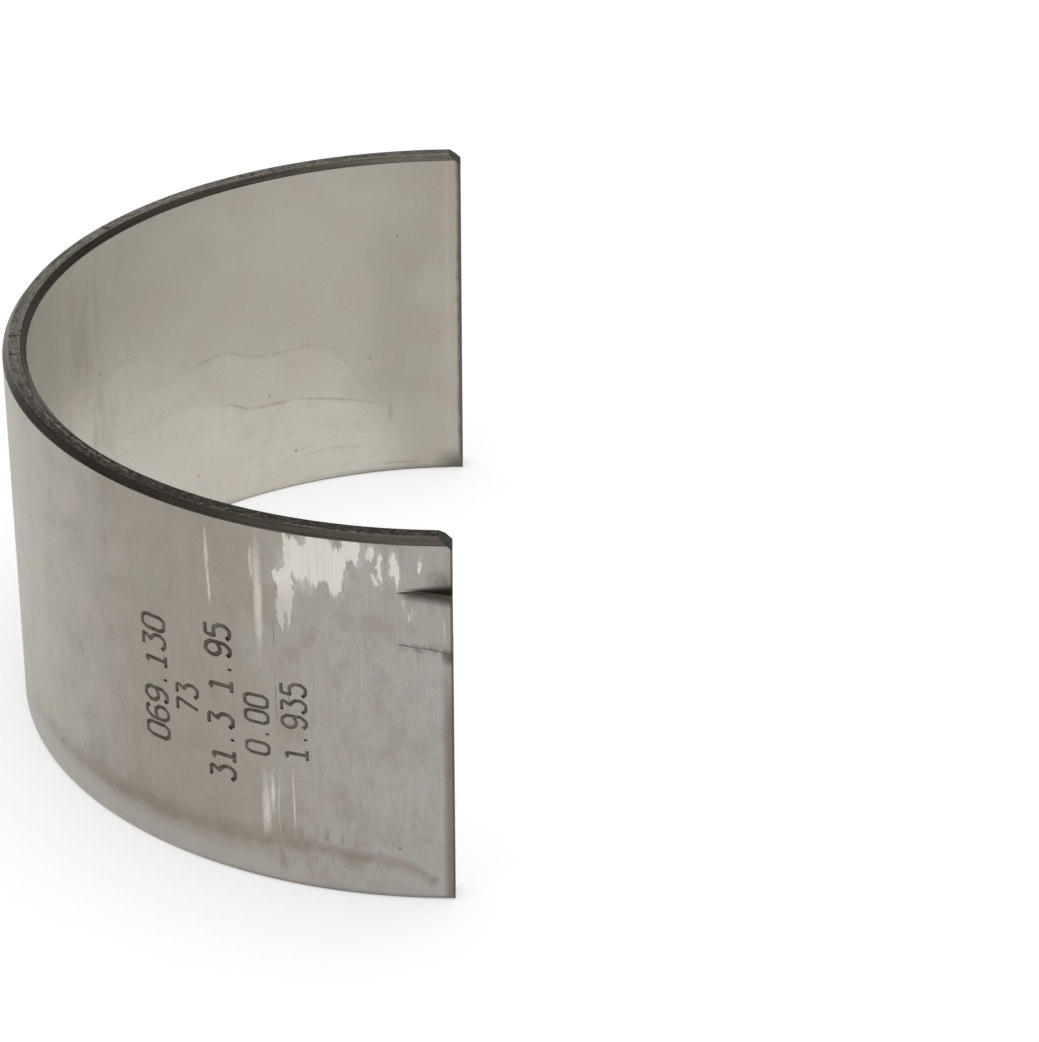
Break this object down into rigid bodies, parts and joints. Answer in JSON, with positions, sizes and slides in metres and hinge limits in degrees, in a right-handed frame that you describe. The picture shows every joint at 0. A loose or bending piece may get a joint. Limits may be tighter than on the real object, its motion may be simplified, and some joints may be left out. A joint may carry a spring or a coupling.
{
  "type": "engine bearing shell",
  "caption": "Thin half-round plain bearing shell for a connecting rod's big end, with chamfered rims, cut corners and a pressed locating tang.",
  "frame": {"origin": "on the bearing axis, at mid length, in the parting plane of the housing", "axes": "+Z along the bearing axis towards the fillet end with the chamfers and cut corners, +X out of the parting faces, so that the crown lies at -X and the tang at -Y"},
  "size_m": [0.0365, 0.0742, 0.0314],
  "materials": {
    "bearing_metal": "satin bearing metal with a fine axial grain, stained on the back and dark on the rims"
  },
  "bodies": {
    "root": {"bearing_shell": "bearing_metal"}
  },
  "joints": []
}
